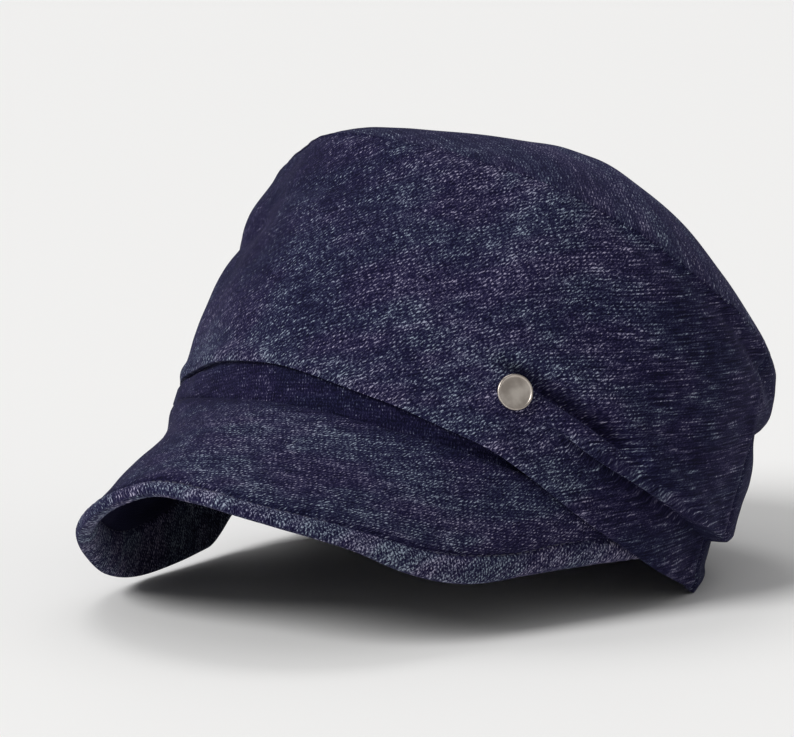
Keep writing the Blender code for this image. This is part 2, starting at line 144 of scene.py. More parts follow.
# turn of the root, then tuck, forward, drop and bulge of the peak's edge
EDGE = (
    (-10, 0.04, 0.96, 0.81, 0.14), (0, 0.00, 0.99, 0.765, 0.16), (10, 0.04, 0.96, 0.81, 0.14),
    (20, 0.08, 0.90, 0.885, 0.10), (30, 0.17, 0.81, 0.94, 0.08), (40, 0.35, 0.67, 0.975, 0.10),
    (50, 0.61, 0.51, 1.00, 0.18), (60, 0.82, 0.36, 0.93, 0.30), (70, 0.93, 0.18, 0.75, 0.30),
    (80, 0.70, 0.00, 0.53, 0.20), (90, 0.20, -0.17, 0.31, 0.08), (100, 0.00, -0.25, 0.15, 0.00),
)
print("tables:", len(SECTIONS), "sections,", len(FOLDS), "folds,", len(EDGE), "peak sections")

# %% [markdown]
# ## From the tables to a place
#
# A table has only a few rows, and cloth bends smoothly between them, so a smooth curve
# is drawn through each column. All the functions take whole arrays at once: a sheet of
# forty thousand points is then placed in a moment.

# %% Smooth curves and ovals
def eased(share):
    share = np.clip(share, 0.0, 1.0)
    return share * share * (3.0 - 2.0 * share)


def along(rows, column, where):
    """The value of a table's column, smoothly between its rows."""
    spots = np.array([row[0] for row in rows], float)
    values = np.array([row[column] for row in rows], float)
    last = len(rows) - 1
    before = np.maximum(np.arange(last + 1) - 1, 0)
    after = np.minimum(np.arange(last + 1) + 1, last)
    slope = (values[after] - values[before]) / (spots[after] - spots[before])
    where = np.clip(where, spots[0], spots[last])
    k = np.clip(np.searchsorted(spots, where, side="right") - 1, 0, last - 1)
    step = spots[k + 1] - spots[k]
    t = (where - spots[k]) / step
    start = (1 + 2 * t) * (1 - t) ** 2 * values[k] + t * (1 - t) ** 2 * step * slope[k]
    finish = t * t * (3 - 2 * t) * values[k + 1] - t * t * (1 - t) * step * slope[k + 1]
    return start + finish


def oval(turn, side, end):
    angle = np.radians(turn)
    return 1.0 / np.hypot(np.sin(angle) / side, np.cos(angle) / end)


def band_inside(turn):
    return oval(turn, OPENING_WIDTH / 2, OPENING_LENGTH / 2)


def band_outside(turn):
    return oval(turn, OPENING_WIDTH / 2 + BAND_CLOTH, OPENING_LENGTH / 2 + BAND_CLOTH)


print("head opening round, mm:", round(float(np.sum(band_inside(np.arange(360.0))) * math.tau / 360 / MM)))


# %% The wall as worn
def hem_level(turn):
    lift = HEM_LIFT * np.exp(-(((turn - HEM_LIFT_TURN) / HEM_LIFT_WIDTH) ** 2))
    return HEM_RISE * along(HEM, 1, turn) + lift


def seam_level(turn):
    return CROWN_DEPTH * along(SEAM, 1, turn)


def pleat_level(turn):
    return CROWN_DEPTH * along(PLEAT, 1, np.abs(turn))


def hem_radius(turn):
    beside = eased((np.abs(turn) - 30.0) / 18.0)
    room = (PEAK_CLOTH + CLEARANCE + HEM_STAND_OFF) * beside
    return band_outside(turn) + CLEARANCE + CROWN_CLOTH + room


def fold_push(turn, level):
    overhang = along(PLEAT, 2, np.abs(turn))
    push = PLEAT_DEPTH * overhang * eased((level - pleat_level(turn)) / PLEAT_STEP + 0.5)
    for first, last, fade, low, high, width, depth in FOLDS:
        into = np.minimum(turn - first, last - turn) / fade
        middle = CROWN_DEPTH * (low + (high - low) * (turn - first) / (last - first))
        away = (level - middle) / (FOLD_WIDTH * width)
        push = push + FOLD_DEPTH * depth * eased(into) * np.exp(-away * away)
    return push


def wall_radius(turn, level):
    share = level / CROWN_DEPTH
    sine = np.sin(np.radians(turn)) ** 2
    ends = np.where(
        np.cos(np.radians(turn)) > 0.0,
        FRONT_SLOPE * along(SECTIONS, 2, share),
        BACK_PUFF * along(SECTIONS, 3, share),
    )
    sides = SIDE_PUFF * along(SECTIONS, 1, share)
    return hem_radius(turn) + sides * sine + ends * (1.0 - sine) + fold_push(turn, level)


print("hem's radius at the front, mm:", round(float(hem_radius(np.zeros(1))[0] / MM), 1))

# %% Leaning back onto the floor
def worn(turn, radius, level):
    angle = np.radians(turn)
    return np.stack(np.broadcast_arrays(radius * np.sin(angle), -radius * np.cos(angle), level), axis=-1)


def stood(place):
    """Moves points of the worn cap to where they lie in the resting one."""
    x, y, z = place[..., 0], place[..., 1], place[..., 2]
    turn = np.degrees(np.arctan2(x, -y))
    hem = worn(turn, hem_radius(turn), hem_level(turn))

    def height(y, z):
        return -y * math.sin(LEAN) + z * math.cos(LEAN) + ROOT_HEIGHT

    sunk = np.maximum(0.0, -height(hem[..., 1], hem[..., 2]))
    risen = eased((z - hem[..., 2]) / SETTLE_HEIGHT)
    lying = np.maximum(0.0, height(y, z) + sunk * (1.0 - risen))
    back = y * math.cos(LEAN) + z * math.sin(LEAN)
    return np.stack([x, back, lying], axis=-1) + np.array(REST_SHIFT)


def wall_level(turn, share):
    """The level at a share of the way from the hem to the tip seam."""
    hem = hem_level(turn)
    pleat = np.maximum(pleat_level(turn), hem + PLEAT_SOFTNESS)
    low = hem + (pleat - hem) * share / PLEAT_SHARE
    high = pleat + (seam_level(turn) - pleat) * (share - PLEAT_SHARE) / (1.0 - PLEAT_SHARE)
    return np.where(share < PLEAT_SHARE, low, high)


def wall_place(turn, share, out=0.0):
    level = wall_level(turn, share)
    return stood(worn(turn, wall_radius(turn, level) + out, level))


def tip_place(turn, share, out=0.0):
    """A place on the tip panel, from the seam at share 0 to its middle at share 1."""
    level = seam_level(turn)
    outer = 1.0 - share
    rise = (CROWN_DEPTH + TIP_RISE - level) * (1.0 - outer**TIP_ROUNDNESS)
    about = np.sin(np.radians(2.0 * turn - TIP_DENT_TURN))
    dent = TIP_DENT * about * np.sin(np.pi * outer)
    return stood(worn(turn, wall_radius(turn, level) * outer, level + rise + dent + out))


check_turns = np.array([0.0, 90.0, 180.0, -90.0])
print("hem, mm:", np.round(wall_place(check_turns, 0.0) / MM, 1).tolist())

# %% [markdown]
# ## A grid that becomes cloth
#
# Cloth is a flat sheet before it is sewn, so each piece starts as a flat grid whose
# squares are then moved to their places in the cap. The grid's own two directions are
# kept in a UV map measured in metres of cloth: the weave follows the sheet round every
# fold, just as real threads do. Where a sheet closes into a ring, its two ends are
# welded. Solidify gives the sheet its thickness, and a small bevel softens cut edges.

# %% Helpers for sheets
WELD = 0.01 * MM
EDGE_SOFTNESS = 0.5 * MM


def smooth_noise(points, size, seed=0.0):
    """A soft random value from -1 to 1 at each point, with lumps of about this size."""
    flat = np.asarray(points, float).reshape(-1, 3) / size + seed * 17.3
    return np.array([noise.noise(Vector(p)) for p in flat]).reshape(np.shape(points)[:-1])


def object_from(shape, name):
    """Turns a finished shape into an object of the scene, at the origin."""
    mesh = bpy.data.meshes.new(name)
    shape.to_mesh(mesh)
    shape.free()
    thing = bpy.data.objects.new(name, mesh)
    bpy.context.scene.collection.objects.link(thing)
    return thing


def sheet_of(name, columns, rows, place, closed=True):
    """A grid from (0, 0) to (1, 1), moved to place(u, v): points, cloth UV, and wear with painted shade."""
    shape = bmesh.new()
    bmesh.ops.create_grid(
        shape,
        x_segments=columns,
        y_segments=rows,
        size=0.5,
        matrix=Matrix.Translation((0.5, 0.5, 0.0)),
    )
    u = np.array([v.co.x for v in shape.verts])
    v = np.array([v.co.y for v in shape.verts])
    points, cloth_u, cloth_v, wear_and_shade = place(u, v)
    shape.verts.index_update()
    threads = shape.loops.layers.uv.new("cloth")
    # This layer holds pale wear above 0 and darkening below 0, most of it painted shade.
    tone_marks = shape.verts.layers.float.new("wear_and_shade")
    for face in shape.faces:
        for corner in face.loops:
            i = corner.vert.index
            corner[threads].uv = (cloth_u[i], cloth_v[i])
        face.smooth = True
    for vertex, point, tone_value in zip(shape.verts, points, wear_and_shade):
        vertex.co = point
        vertex[tone_marks] = tone_value
    if closed:
        bmesh.ops.remove_doubles(shape, verts=shape.verts, dist=WELD)
    bmesh.ops.recalc_face_normals(shape, faces=shape.faces)
    piece = object_from(shape, name)
    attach(piece, "root")
    return piece


def thickened(piece, thickness):
    """Gives a sheet its thickness, inwards from its outer face, and softens its cut edges."""
    solid = piece.modifiers.new("cloth", "SOLIDIFY")
    solid.thickness = thickness
    solid.offset = -1.0
    solid.use_even_offset = False
    soft = piece.modifiers.new("edges", "BEVEL")
    soft.limit_method = "ANGLE"
    soft.angle_limit = math.radians(60.0)
    soft.width = EDGE_SOFTNESS
    soft.segments = 3
    soft.use_clamp_overlap = True
    return piece


def facing_out(piece, inner_point):
    """Turns the sheet's faces so that they look away from a point inside the cap."""
    mesh = piece.data
    centre = np.array([list(p.center) for p in mesh.polygons])
    normal = np.array([list(p.normal) for p in mesh.polygons])
    if np.sum((centre - np.array(inner_point)) * normal) < 0.0:
        mesh.flip_normals()
    return piece


HEAD_MIDDLE = (0.0, 30.0 * MM, 70.0 * MM)
print("helpers ready, the head's middle is at", HEAD_MIDDLE)

# %% [markdown]
# ## The crown's wall
#
# The wall is two panels of denim, a long one round the front and a short one at the
# back, joined by side seams. Its large folds come from the tables. On top of them the
# real cloth has what no solid shows: a soft roll where the hem is turned under, a valley
# with small puckers beside each seam, and gentle dents all over. Each is a small push
# outwards or inwards, so they are summed up. Rows of the grid are packed closer together
# where the pleat is, because a crisp fold needs more points than a smooth wall.

# %% Small folds of the wall
SIDE_SEAM_TURN = 112.5
ROW_SHARES = (0.00, 0.17, 0.21, 0.27, 0.34, 0.65, 1.00)
ROW_PLACES = (0.00, 0.16, 0.26, 0.52, 0.62, 0.82, 1.00)
WALL_RUN = 97.0 * MM
WRAP_RADIUS = 95.0 * MM
DEGREE_RUN = 1.7 * MM
HEM_ROLL = 1.1 * MM
SEAM_VALLEY = 0.6 * MM
SEAM_RIDGE = 0.5 * MM
SIDE_VALLEY = 1.1 * MM
SIDE_RIDGE = 0.8 * MM
PUCKER_DEPTH = 0.10 * MM
PUCKERS_ROUND = 62.0
LONG_DENTS = 1.2 * MM
SHORT_DENTS = 0.5 * MM
DRAG_DENTS = 0.35 * MM
GROOVE_TURNS = (42.0, 80.0)
GROOVE_LEVELS = (0.330, 0.165)
DARK_RIGHT_LIMIT_TURN = 18.0
DARK_RIGHT_FADE = 46.0
DARK_RIGHT_WAVER = 16.0
DARK_RIGHT_WAVER_SIZE = 34.0 * MM
DARK_RIGHT_BACK_TURN = 170.0
DARK_RIGHT_BACK_FADE = 70.0


def bump(distance, width):
    """A soft hump, 1 at no distance and gone at twice the width."""
    return np.exp(-((distance / width) ** 2))


def darker_right(turn, place):
    """How much darker the wearer's right half is, from 0 to 1, with a wavering limit."""
    wavering = DARK_RIGHT_WAVER * smooth_noise(place, DARK_RIGHT_WAVER_SIZE, 9.0)
    past_limit = eased((DARK_RIGHT_LIMIT_TURN + wavering - turn) / DARK_RIGHT_FADE)
    return past_limit * eased((turn + DARK_RIGHT_BACK_TURN) / DARK_RIGHT_BACK_FADE)


def wall_push(turn, level, place):
    """Small pushes on the wall, in metres."""
    above_hem = level - hem_level(turn)
    below_seam = seam_level(turn) - level
    beside_seam = (np.abs(turn) - SIDE_SEAM_TURN) * DEGREE_RUN
    roll = HEM_ROLL * bump(above_hem - 3.4 * MM, 2.4 * MM)
    valleys = -SEAM_VALLEY * bump(below_seam, 2.2 * MM) - SIDE_VALLEY * bump(beside_seam, 1.6 * MM)
    ridges = SEAM_RIDGE * bump(below_seam - 5.0 * MM, 3.0 * MM)
    ridges = ridges + SIDE_RIDGE * bump(beside_seam + 5.0 * MM, 4.0 * MM)
    wander = 2.0 * smooth_noise(place, 30.0 * MM, 7.0)
    pucker = PUCKER_DEPTH * np.sin(np.radians(turn) * PUCKERS_ROUND + wander)
    pucker = pucker * bump(below_seam, 9.0 * MM)
    dents = LONG_DENTS * smooth_noise(place, 44.0 * MM, 1.0)
    dents = dents + SHORT_DENTS * smooth_noise(place, 16.0 * MM, 2.0)
    drag = place * np.array([1.0, 1.0, 2.6])
    dents = dents + DRAG_DENTS * smooth_noise(drag, 22.0 * MM, 8.0)
    calm = 0.25 + 0.75 * eased(above_hem / (12.0 * MM)) * eased(below_seam / (10.0 * MM))
    return roll + valleys + ridges + pucker + dents * calm


def wall_wear_and_shade(turn, level, place):
    """The wall's tone marks: above 0 rubbed pale, below 0 darker: painted shade in the groove, under the pleat's
    flap and round the wearer's left, and a darker wearer's right high up.
    """
    above_hem = level - hem_level(turn)
    below_seam = seam_level(turn) - level
    above_pleat = level - pleat_level(turn)
    overhang = along(PLEAT, 2, np.abs(turn))
    worn_seam = 0.6 * bump(below_seam - 4.0 * MM, 2.5 * MM)
    worn_edge = np.maximum(bump(above_hem - 1.5 * MM, 2.0 * MM), worn_seam)
    pleat_edge = bump(above_pleat - 1.6 * MM, 1.8 * MM) * overhang
    # Painted shade: darker in the groove, under the pleat's overhanging flap, and round the wearer's left side
    # away from the key light.
    groove = CROWN_DEPTH * np.interp(turn, GROOVE_TURNS, GROOVE_LEVELS)
    shade_in_groove = bump(level - groove, 2.4 * MM) * eased((turn - 44.0) / 6.0) * eased((82.0 - turn) / 10.0)
    shade_under_pleat = bump(above_pleat + 2.4 * MM, 2.4 * MM) * eased((overhang - 0.2) / 0.3)
    high = eased((level / CROWN_DEPTH - 0.10) / 0.5)
    shade_round_left = eased((turn - 52.0) / 30.0) * eased((178.0 - turn) / 40.0)
    darkening = 0.6 * shade_under_pleat + 0.9 * shade_in_groove + 0.6 * shade_round_left
    # The wearer's right is darker high up.
    darkening = darkening + 1.4 * darker_right(turn, place) * high
    return np.maximum(0.5 * worn_edge, 0.8 * pleat_edge) - darkening


def pleat_hook(turn, share):
    """How far the cloth folds over itself at the pleat: up behind the flap, down in front."""
    through = np.clip((share - PLEAT_SHARE) / PLEAT_HOOK_SHARE, -1.0, 1.0)
    near = np.abs(turn)
    deep = PLEAT_HOOK * eased((near - 52.0) / 16.0) * (1.0 - 0.9 * eased((near - 92.0) / 14.0))
    return -deep * np.sin(np.pi * through) * (1.0 - through ** 2)


def wall_cloth(first, last):
    """The placing of a wall panel between two turns."""

    def place(u, v):
        turn = (first + (last - first) * u + 180.0) % 360.0 - 180.0
        along_hem = np.radians(first + (last - first) * u) * WALL_RUN
        share = np.interp(v, ROW_PLACES, ROW_SHARES)
        share = share * (1.0 - 0.1 * MM / (seam_level(turn) - hem_level(turn)))
        level = wall_level(turn, share)
        wrapped = worn(turn, WRAP_RADIUS, level)
        push = wall_push(turn, level, wrapped)
        points = stood(worn(turn, wall_radius(turn, level) + push, level + pleat_hook(turn, share)))
        past_pleat = eased((level - pleat_level(turn)) / PLEAT_STEP + 0.5)
        folded = PLEAT_DEPTH * along(PLEAT, 2, np.abs(turn)) * past_pleat
        return points, along_hem, level + folded, wall_wear_and_shade(turn, level, wrapped)

    return place


print("share of the wall's rows that lie in the pleat:", ROW_PLACES[3] - ROW_PLACES[2])

# %% The crown's two panels
panel_places = (
    ("crown_front_cloth", -SIDE_SEAM_TURN, SIDE_SEAM_TURN, 330, "crown_front"),
    ("crown_back_cloth", SIDE_SEAM_TURN, 360.0 - SIDE_SEAM_TURN, 180, "crown_back"),
)
panels = []
for name, first, last, columns, node in panel_places:
    panel = sheet_of(name, columns, 136, wall_cloth(first, last), closed=False)
    facing_out(panel, HEAD_MIDDLE)
    thickened(panel, CROWN_CLOTH)
    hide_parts(node)
    panels.append(panel)
    print(name, "faces:", len(panel.data.polygons))
front_panel, back_panel = panels

# %% [markdown]
# ## The tip panel
#
# The tip is an oval panel sewn to the wall. Its grid is bent into rings that close to its
# middle, so the grid's last row is welded into one point. Its edge dips into the same
# seam valley as the wall, and its middle has the long soft creases of cloth that has
# nothing to stretch it.

# %% The tip panel
TIP_RUN = 90.0 * MM
TIP_LONG_DENTS = 1.5 * MM
TIP_SHORT_DENTS = 0.5 * MM


def tip_cloth(u, v):
    turn = -180.0 + 360.0 * u
    level = seam_level(turn)
    from_seam = v * wall_radius(turn, level)
    flat = worn(turn, (1.0 - v) * TIP_RUN, 0.3)
    valley = -SEAM_VALLEY * bump(from_seam, 2.2 * MM)
    pucker = PUCKER_DEPTH * np.sin(np.radians(turn) * PUCKERS_ROUND) * bump(from_seam, 8.0 * MM) * (1.0 - v)
    dents = TIP_LONG_DENTS * smooth_noise(flat, 38.0 * MM, 3.0)
    dents = dents + TIP_SHORT_DENTS * smooth_noise(flat, 14.0 * MM, 4.0)
    push = valley + pucker + dents * eased(from_seam / (10.0 * MM))
    # The wearer's right is darker and the whole tip a little darker; beside the seam it is rubbed pale.
    darkening = darker_right(turn, flat) * (1.0 - v)
    wear_and_shade = 0.3 * bump(from_seam - 4.0 * MM, 2.5 * MM) - 0.9 * darkening - 0.2
    return tip_place(turn, v, push), flat[:, 0], -flat[:, 1], wear_and_shade


tip = facing_out(sheet_of("crown_tip_cloth", 360, 70, tip_cloth), HEAD_MIDDLE)
thickened(tip, CROWN_CLOTH)
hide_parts("crown_top")
print("tip faces:", len(tip.data.polygons))

# %% [markdown]
# ## The inner band
#
# The band is a folded ring that grips the head. Between the hem and the peak it shows as
# a narrow strip in the hem's shade, and beside the peak it bulges out until it fills the
# room under the hem.

# %% The inner band
BAND_RUN = 94.0 * MM
BAND_DROP = 0.8 * MM
BAND_OVERLAP = 4.0 * MM
BAND_SIDE_RISE = 3.0 * MM
BAND_SWELL = 2.8 * MM
# The band's colour is darkened all round: painted shade of the hem over it.
BAND_PAINTED_SHADE = -1.3


def band_cloth(u, v):
    turn = -180.0 + 360.0 * u
    top = np.maximum(BAND_SIDE_RISE, hem_level(turn) + BAND_OVERLAP)
    level = -BAND_DROP + (top + BAND_DROP) * v
    hem = hem_level(turn)
    room = np.maximum(0.0, hem_radius(turn) - CROWN_CLOTH - CLEARANCE - band_outside(turn))
    bulge = room * 0.9 * eased((level - 2.8 * MM) / (2.4 * MM)) * (hem > -2.0 * MM)
    shown = eased((level - 2.2 * MM) / (2.4 * MM)) * eased((hem - 0.6 * MM - level) / (1.8 * MM))
    bulge = bulge + BAND_SWELL * eased((-turn - 14.0) / 18.0) * shown
    ripple = -0.14 * MM * (1.0 + np.sin(np.radians(turn) * 40.0)) * np.sin(np.pi * v)
    points = stood(worn(turn, band_outside(turn) + bulge + ripple, level))
    return points, np.radians(turn) * BAND_RUN, level, np.full_like(turn, BAND_PAINTED_SHADE)


band = facing_out(sheet_of("band_cloth", 300, 24, band_cloth), HEAD_MIDDLE)
thickened(band, BAND_CLOTH)
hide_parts("band")
print("band faces:", len(band.data.polygons))

# %% [markdown]
# ## The peak
#
# The peak is a layer of denim over a stiff insert. Its underside inside the stitch line is painted near black, a
# painted shade. The denim is rolled round the outer edge and held by a line of topstitching inside it. One grid
# runs
# all the way round the section: over the top, round the rolled edge and back underneath.
# The layers are pressed together along the stitches and puff up on both sides of them. The
# stitch line lies a few millimetres inside the edge at the front, and further inside at the
# temples. The corner that lies on the floor is a little fuller than the rest.

# %% The peak's under-surface
def peak_under(turn, share):
    near = np.abs(turn)
    side = np.where(turn >= 0.0, 1.0, -1.0)
    root = worn(turn, band_outside(turn) + CLEARANCE, 0.0)
    edge = root.copy()
    edge[..., 0] -= side * PEAK_TUCK * along(EDGE, 1, near)
    edge[..., 1] -= PEAK_REACH * along(EDGE, 2, near)
    edge[..., 2] -= PEAK_DROP * along(EDGE, 3, near)
    out = worn(turn, 1.0, 0.0)
    bulge = PEAK_BULGE * along(EDGE, 4, near)
    bend = (root + edge) / 2 + out * bulge[..., None]
    bend[..., 2] += PEAK_CREST_SHARE * bulge
    inward = np.sum((root - bend) * out, axis=-1)
    bend = bend + out * np.maximum(0.0, inward)[..., None]
    first, last = PEAK_LIFT_TURNS
    lift = PEAK_LEFT_LIFT * eased((turn - first) / (last - first))
    edge[..., 1] -= lift * math.sin(LEAN)
    edge[..., 2] += lift * math.cos(LEAN)
    left = (1.0 - share)[..., None]
    share = share[..., None]
    return root * left * left + bend * 2.0 * left * share + edge * share * share


def peak_facing(turn, share):
    across = peak_under(turn + 1.0, share) - peak_under(turn - 1.0, share)
    up = peak_under(turn, share + 0.02) - peak_under(turn, share - 0.02)
    out = -np.cross(across, up)
    return out / np.linalg.norm(out, axis=-1, keepdims=True)


def peak_length(turn, share):
    """How much cloth lies between the root and this share of the section."""
    steps = np.linspace(0.0, 1.0, 13)
    spots = [peak_under(turn, share * step) for step in steps]
    return sum(np.linalg.norm(b - a, axis=-1) for a, b in zip(spots, spots[1:]))


print("peak's depth at the front, mm:", round(float(peak_length(np.zeros(1), np.ones(1))[0] / MM), 1))

# %% The peak's cloth
# turn, share of the section where the stitch line runs
STITCH_LINE = (
    (0, 0.885), (15, 0.875), (22, 0.86), (30, 0.83), (46, 0.765), (63, 0.60), (70, 0.45),
    (80, 0.30), (92, 0.25),
)
STITCH_SINK = 1.0 * MM
STITCH_GROOVE = 1.1 * MM
ROLL = 2.8 * MM
LOW_CORNER_TURN = -38.0
LOW_CORNER_WIDTH = 26.0
LOW_CORNER_REACH = 0.035
END_TAPER = 0.55
ROOT_SWELL = 3.0 * MM
ROOT_HOLLOW = 3.4 * MM
PEAK_RUN = 105.0 * MM
UNDERSIDE_UV_SHIFT = 0.2
# How dark the underside is painted, as shade.
UNDERSIDE_PAINTED_SHADE = -4.5


def by_low_corner(turn):
    """1 at the corner that lies on the floor, fading to both sides."""
    return bump(turn - LOW_CORNER_TURN, LOW_CORNER_WIDTH)


def rim_reach(turn):
    """Where the rolled edge lies, as a share of the solid's section."""
    fuller = 1.0 + LOW_CORNER_REACH * by_low_corner(turn)
    return fuller * (1.0 - END_TAPER * eased((-turn - 78.0) / 14.0))


def stitch_share(turn):
    return along(STITCH_LINE, 1, np.abs(turn)) * rim_reach(turn)


def peak_skin(turn, around):
    """Round the peak's section: 0 at the upper root, 0.5 at the rolled edge, 1 at the lower root."""
    upper = around < 0.5
    share = np.where(upper, around * 2.0, 2.0 - around * 2.0)
    reach = rim_reach(turn)
    share = share * reach
    whole = peak_length(turn, reach)
    here = peak_length(turn, share)
    stitch = peak_length(turn, stitch_share(turn))
    from_stitch = here - stitch
    rim = np.clip(from_stitch / np.maximum(whole - stitch, 1.0 * MM), 0.0, 1.0)
    groove = -STITCH_SINK * bump(from_stitch, STITCH_GROOVE)
    thick_roll = 0.8 + 0.9 * by_low_corner(turn)
    puff = thick_roll * MM * np.sin(np.pi * rim ** 1.3) + 0.25 * MM * bump(from_stitch + 4.5 * MM, 3.0 * MM)
    half = PEAK_CLOTH / 2 + groove + puff
    edge = np.clip((whole - here) / ROLL, 0.0, 1.0)
    roll = np.sqrt(np.clip(1.0 - (1.0 - edge) ** 2, 0.0, 1.0))
    out = peak_facing(turn, share)
    right_half = eased((-turn - 12.0) / 25.0)
    swell = ROOT_SWELL * bump(share, 0.10) * upper - ROOT_HOLLOW * bump(share - 0.30, 0.17)
    middle = peak_under(turn, share) + out * (PEAK_CLOTH / 2 + swell * right_half)[..., None]
    place = middle + out * (np.where(upper, 1.0, -1.0) * half * roll)[..., None]
    return place, out, here, from_stitch, roll


def peak_cloth(u, v):
    turn = PEAK_END_TURN * (2.0 * u - 1.0)
    # rows lie closer together towards the rolled edge
    around = 0.5 + 0.5 * np.sign(v - 0.5) * np.abs(2.0 * v - 1.0) ** 1.7
    place, out, here, from_stitch, roll = peak_skin(turn, around)
    lumps = 0.5 * smooth_noise(place, 30.0 * MM, 5.0) + 0.18 * smooth_noise(place, 9.0 * MM, 6.0)
    slant = np.sin((np.radians(turn) * 95.0 + here / MM * 0.35) * 1.9)
    pulls = 0.16 * slant * bump(from_stitch - 3.5 * MM, 3.0 * MM)
    place = place + out * ((lumps + pulls) * MM * roll)[..., None]
    beside_stitch = 0.4 * bump(from_stitch - 4.0 * MM, 3.0 * MM)
    tone_marks = np.maximum(bump(1.0 - roll, 0.6) * (from_stitch > 0.0), beside_stitch)
    # Painted shade: darker round the wearer's left, in the stitch groove and along the root under the hem. The
    # upper face is also darker on the wearer's right.
    darkening = 1.3 * eased((8.0 - turn) / 30.0) * (around < 0.5) + 0.4 * eased((turn - 40.0) / 30.0)
    darkening = darkening + 0.9 * bump(from_stitch + 0.6 * MM, 1.5 * MM) + 1.2 * bump(here, 4.0 * MM)
    # Inside the stitch line the underside is painted near black as shade.
    shaded_underside = (around > 0.5) & (from_stitch < 0.0)
    wear_and_shade = np.where(shaded_underside, UNDERSIDE_PAINTED_SHADE, tone_marks + 0.12 - darkening)
    down = np.where(around < 0.5, -here, here + UNDERSIDE_UV_SHIFT)
    return stood(place), np.radians(turn) * PEAK_RUN, down, wear_and_shade


peak = sheet_of("peak_cloth", 320, 140, peak_cloth)
closing = bmesh.new()
closing.from_mesh(peak.data)
bmesh.ops.holes_fill(closing, edges=[e for e in closing.edges if e.is_boundary], sides=0)
bmesh.ops.recalc_face_normals(closing, faces=closing.faces)
for face in closing.faces:
    face.smooth = True
closing.to_mesh(peak.data)
closing.free()
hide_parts("peak")
print("peak faces:", len(peak.data.polygons))

# %% [markdown]
# The rolled edge is a strip cut on the slant, so its weave runs another way than the
# peak's. Turning the cloth UV of its faces is enough to show it.

# %% Turning the weave of the rolled edge
LONGEST_SECTION = 0.15
RIM_SHIFT = 0.5


def turn_rim_weave(piece, angle):
    """Turns the cloth UV of the faces outside the stitch line."""
    threads = piece.data.uv_layers["cloth"].data
    cosine, sine = math.cos(angle), math.sin(angle)
    turned_faces = 0
    turns = np.linspace(-PEAK_END_TURN, PEAK_END_TURN, 93)
    lengths = peak_length(turns, stitch_share(turns))
    for face in piece.data.polygons:
        corners = [threads[i].uv for i in face.loop_indices]
        turn = math.degrees(sum(c[0] for c in corners) / len(corners) / PEAK_RUN)
        down = abs(sum(c[1] for c in corners) / len(corners))
        down = down - UNDERSIDE_UV_SHIFT if down > LONGEST_SECTION else down
        if down > np.interp(turn, turns, lengths):
            turned_faces += 1
            for i in face.loop_indices:
                x, y = threads[i].uv
                threads[i].uv = (x * cosine - y * sine + RIM_SHIFT, x * sine + y * cosine)
    return turned_faces


print("faces of the rolled edge:", turn_rim_weave(peak, math.radians(-70.0)))

# %% [markdown]
# ## The topstitching
#
# Each stitch is a short thread that dives into the cloth at both ends. It is repeated
# many times, so it is only a low, stretched ball, laid along the stitch line on the
# top of the peak and again underneath.

# %% Topstitches
STITCH_PITCH = 3.1 * MM
STITCH_LENGTH = 2.3 * MM
STITCH_WIDTH = 0.55 * MM
STITCH_LIFT = 0.05 * MM


def stitch_line(around_side):
    turns = np.linspace(-88.0, 88.0, 1200)
    shares = along(STITCH_LINE, 1, np.abs(turns))
    around = shares / 2.0 if around_side > 0 else 1.0 - shares / 2.0
    place, out, _, _, _ = peak_skin(turns, around)
    inner = stood(place)
    outer = stood(place + out * around_side * 0.5 * MM)
    normal = outer - inner
    normal = normal / np.linalg.norm(normal, axis=-1, keepdims=True)
    run = np.concatenate([[0.0], np.cumsum(np.linalg.norm(np.diff(inner, axis=0), axis=-1))])
    spots = np.arange(STITCH_PITCH, run[-1] - STITCH_PITCH, STITCH_PITCH)
    middle = np.stack([np.interp(spots, run, inner[:, k]) for k in range(3)], axis=-1)
    ahead = np.stack([np.interp(spots + 0.5 * MM, run, inner[:, k]) for k in range(3)], axis=-1)
    upward = np.stack([np.interp(spots, run, normal[:, k]) for k in range(3)], axis=-1)
    return middle, ahead - middle, upward


stitches = bmesh.new()
stitch_count = 0
for side in (1.0, -1.0):
    for middle, run, upward in zip(*stitch_line(side)):
        x = Vector(run).normalized()
        z = Vector(upward)
        z = (z - x * z.dot(x)).normalized()
        place = Matrix((x, z.cross(x), z)).transposed().to_4x4()
        place.translation = Vector(middle) + z * STITCH_LIFT
        place = place @ Matrix.Diagonal((STITCH_LENGTH / 2, STITCH_WIDTH / 2, STITCH_WIDTH / 2, 1.0))
        bmesh.ops.create_uvsphere(stitches, u_segments=8, v_segments=6, radius=1.0, matrix=place)
        stitch_count += 1
for face in stitches.faces:
    face.smooth = True
peak_stitches = object_from(stitches, "peak_stitches")
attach(peak_stitches, "root")
print("stitches:", stitch_count)

# %% [markdown]
# ## The disc
#
# A small satin metal disc is fixed over the front end of the pleat. It is turned, as on a
# lathe: half of its section is spun round its axis. It has a thin raised rim, and its face
# inside the rim is left bare.

# %% The disc
DISC_WIDTH = 12.2 * MM
DISC_THICKNESS = 1.2 * MM
low_corner, high_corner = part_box("emblem")
DISC_MIDDLE = (low_corner + high_corner) / 2
DISC_OUT = Vector((0.7767, -0.5696, 0.2691)).normalized()
rim = DISC_WIDTH / 2 / MM
high = DISC_THICKNESS / 2 / MM
